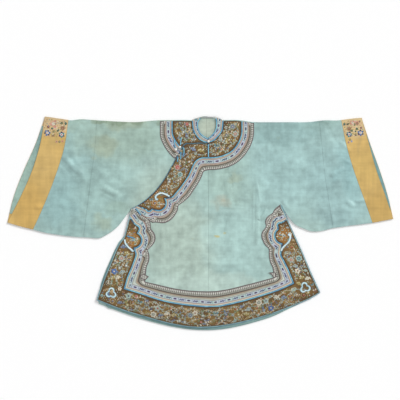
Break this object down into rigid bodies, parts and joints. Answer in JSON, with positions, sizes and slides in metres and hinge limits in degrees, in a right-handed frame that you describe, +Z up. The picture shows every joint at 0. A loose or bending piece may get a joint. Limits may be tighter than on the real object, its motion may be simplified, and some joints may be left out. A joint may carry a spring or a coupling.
{
  "type": "side-fastening silk overcoat, laid flat",
  "caption": "Woman's hip-length lined silk coat with wide sleeves, big side-fastening overlap, embroidered cloud-shaped borders and ribbon trims, laid flat on its back.",
  "frame": {"origin": "centre of the box's underside, on the surface that the coat lies on", "axes": "+X to the right cuff as seen from above, +Y from the hem to the neck, +Z up off the surface"},
  "size_m": [1.486, 0.8224, 0.0188],
  "materials": {
    "silk": "turquoise silk damask with woven medallions, soft satin sheen",
    "cuff_silk": "yellow silk satin with embroidered sprays",
    "lining": "plain pale green silk",
    "embroidery": "brown satin covered in satin-stitch flowers, leaves and clouds",
    "piping": "blue satin bias piping",
    "pale_ribbon": "pale blue couched ribbon",
    "figured_ribbon": "pale woven ribbon with a dark broken figure",
    "lace": "grey-brown woven ribbon with a lattice",
    "button": "whitish worn metal balls"
  },
  "bodies": {
    "root": {"centre_piping": "piping", "collar": "figured_ribbon", "collar_piping_left": "piping", "collar_piping_right": "piping", "collar_top_piping_left": "piping", "collar_top_piping_right": "piping", "corner_button_1": "button", "corner_button_2": "button", "corner_button_strip_1": "piping", "corner_button_strip_2": "piping", "corner_loop_strip_1": "piping", "corner_loop_strip_2": "piping", "corner_loop_strip_3": "piping", "front_lace": "lace", "front_overlap": "silk", "front_piping": "piping", "front_ribbon": "figured_ribbon", "hem_border": "embroidery", "hem_lace": "lace", "hem_lining": "lining", "hem_piping": "piping", "hem_ribbon": "figured_ribbon", "left_body": "silk", "left_cuff_band": "cuff_silk", "left_cuff_lining": "lining", "left_curl": "pale_ribbon", "left_sleeve_end": "silk", "left_trefoil": "pale_ribbon", "neck_border_left": "embroidery", "neck_border_right": "embroidery", "neck_button": "button", "neck_left_lace": "lace", "neck_left_piping": "piping", "neck_left_ribbon": "figured_ribbon", "neck_lining": "lining", "overlap_border": "embroidery", "overlap_curl": "pale_ribbon", "overlap_piping": "piping", "right_body": "silk", "right_cuff_band": "cuff_silk", "right_cuff_lining": "lining", "right_curl": "pale_ribbon", "right_sleeve_end": "silk", "right_trefoil": "pale_ribbon", "side_strip": "piping", "slit_lining": "lining", "underarm_strip": "piping"}
  },
  "joints": []
}
